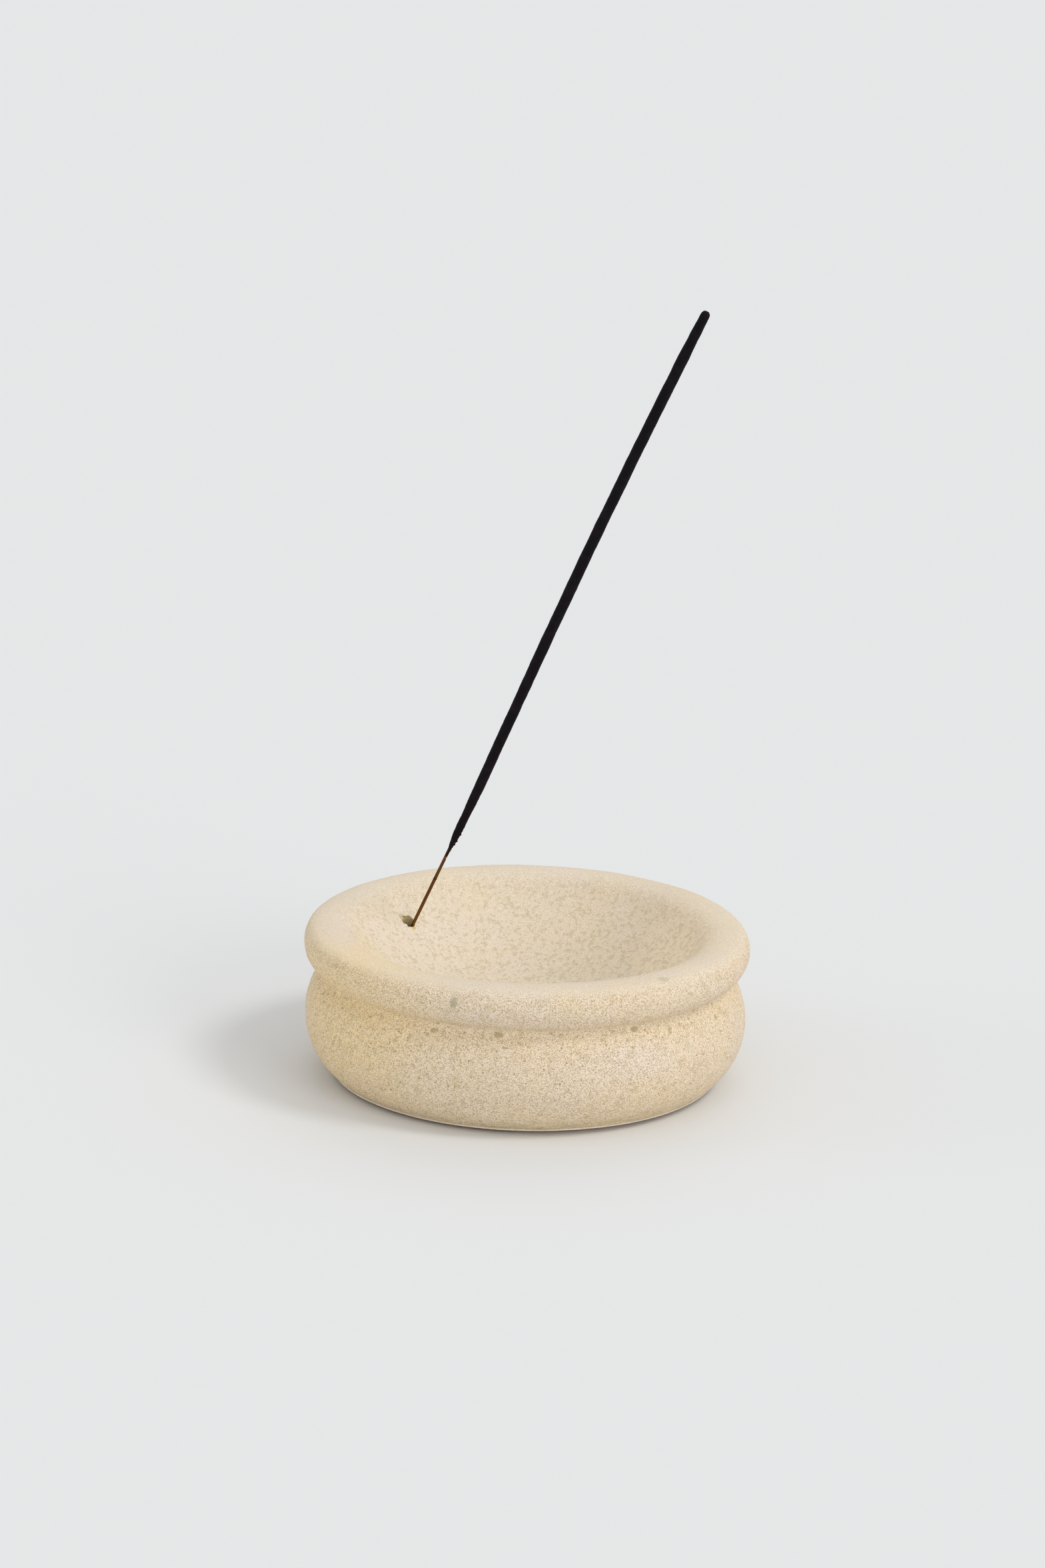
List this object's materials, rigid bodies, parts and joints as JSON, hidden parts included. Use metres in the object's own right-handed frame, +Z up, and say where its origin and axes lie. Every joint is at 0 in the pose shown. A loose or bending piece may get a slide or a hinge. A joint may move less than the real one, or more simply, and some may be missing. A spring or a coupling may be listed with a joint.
{
  "type": "stick incense burner",
  "caption": "Round cast-stone incense burner of two stacked rolls, with a hollow bowl and a leaning charcoal incense stick.",
  "frame": {"origin": "centre of the dish's flat underside, on the table", "axes": "+Z up out of the bowl; -Y is the front, and +X is the right of a person at the front, the side that the stick leans to; the stick's hole is at the left and back"},
  "size_m": [0.12, 0.12, 0.2152],
  "materials": {
    "cast_stone": "matte, fine-pitted and speckled",
    "bamboo": "matte, stained dark brown",
    "charcoal_paste": "matte, rough charcoal powder"
  },
  "bodies": {
    "holder": {"dish": "cast_stone"},
    "stick": {"bamboo_core": "bamboo", "incense_paste": "charcoal_paste"}
  },
  "joints": [
    {"name": "stick_lift", "type": "slide", "parent": "holder", "child": "stick", "axis": [0.3549, -0.2978, 0.8862], "range_m": [0, 0.06]}
  ]
}
